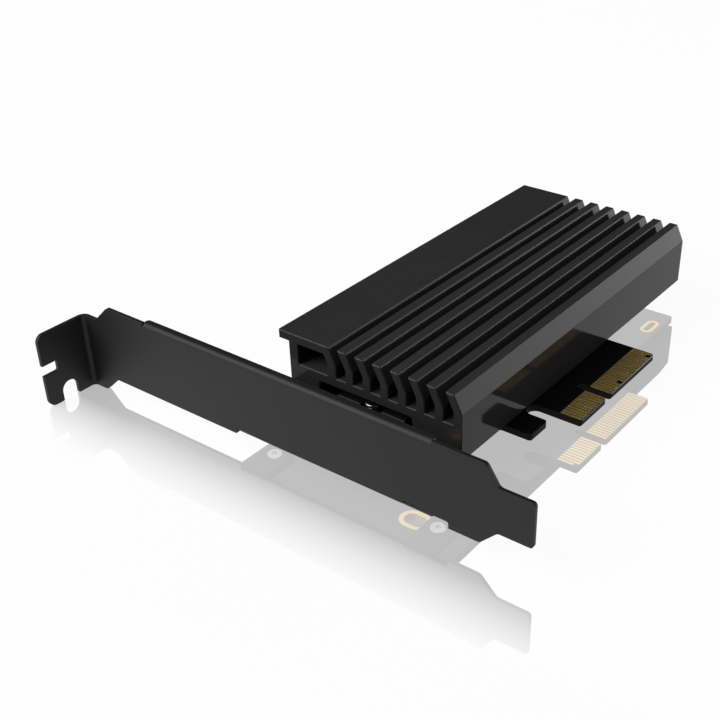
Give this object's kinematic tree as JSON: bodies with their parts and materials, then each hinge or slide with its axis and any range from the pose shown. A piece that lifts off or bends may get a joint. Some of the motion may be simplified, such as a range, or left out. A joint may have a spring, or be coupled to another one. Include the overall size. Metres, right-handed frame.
{
  "type": "nvme adapter card",
  "caption": "Expansion-slot adapter card for an M.2 solid-state drive, with a finned heatsink over the drive's channel, a gold contact edge and a full-height folded bracket.",
  "frame": {"origin": "middle of the key notch at the tip of the contact tongue, on the board's component side, the face that carries the heatsink", "axes": "+X the way the contact tongue enters its slot, +Y along the board away from the bracket, +Z out of the component side towards the fins"},
  "size_m": [0.1201, 0.1307, 0.0224],
  "materials": {
    "black_powder_coat": "fine satin black coat on folded steel",
    "black_solder_mask": "glossy black solder mask on glass-fibre board",
    "gold_plating": "thin gold plating on copper",
    "black_anodised_aluminium": "black anodised extrusion with fine die lines along its length",
    "screw_steel": "nickel-plated steel",
    "post_metal": "nickel-plated brass",
    "thermal_pad": "soft filled silicone, matt",
    "socket_plastic": "black glass-filled moulding",
    "capacitor_ceramic": "brown ceramic with tinned ends"
  },
  "bodies": {
    "root": {"bracket": "black_powder_coat", "circuit_board": "black_solder_mask", "edge_contacts_component_side": "gold_plating", "edge_contacts_solder_side": "gold_plating", "front_slot_plating": "gold_plating", "rear_slot_plating": "gold_plating", "heatsink": "black_anodised_aluminium", "bracket_screw_1": "screw_steel", "bracket_screw_2": "screw_steel", "bracket_nut_1": "screw_steel", "bracket_nut_2": "screw_steel", "standoff": "post_metal", "standoff_nut": "post_metal", "drive_screw": "screw_steel", "board_thermal_pad": "thermal_pad", "heatsink_thermal_pad": "thermal_pad", "heatsink_screw_1": "screw_steel", "heatsink_screw_2": "screw_steel", "heatsink_screw_3": "screw_steel", "heatsink_screw_4": "screw_steel", "socket_housing": "socket_plastic", "socket_contacts_upper": "gold_plating", "socket_contacts_lower": "gold_plating", "bulk_capacitor_1": "capacitor_ceramic", "bulk_capacitor_2": "capacitor_ceramic", "bulk_capacitor_3": "capacitor_ceramic", "bulk_capacitor_4": "capacitor_ceramic"}
  },
  "joints": []
}
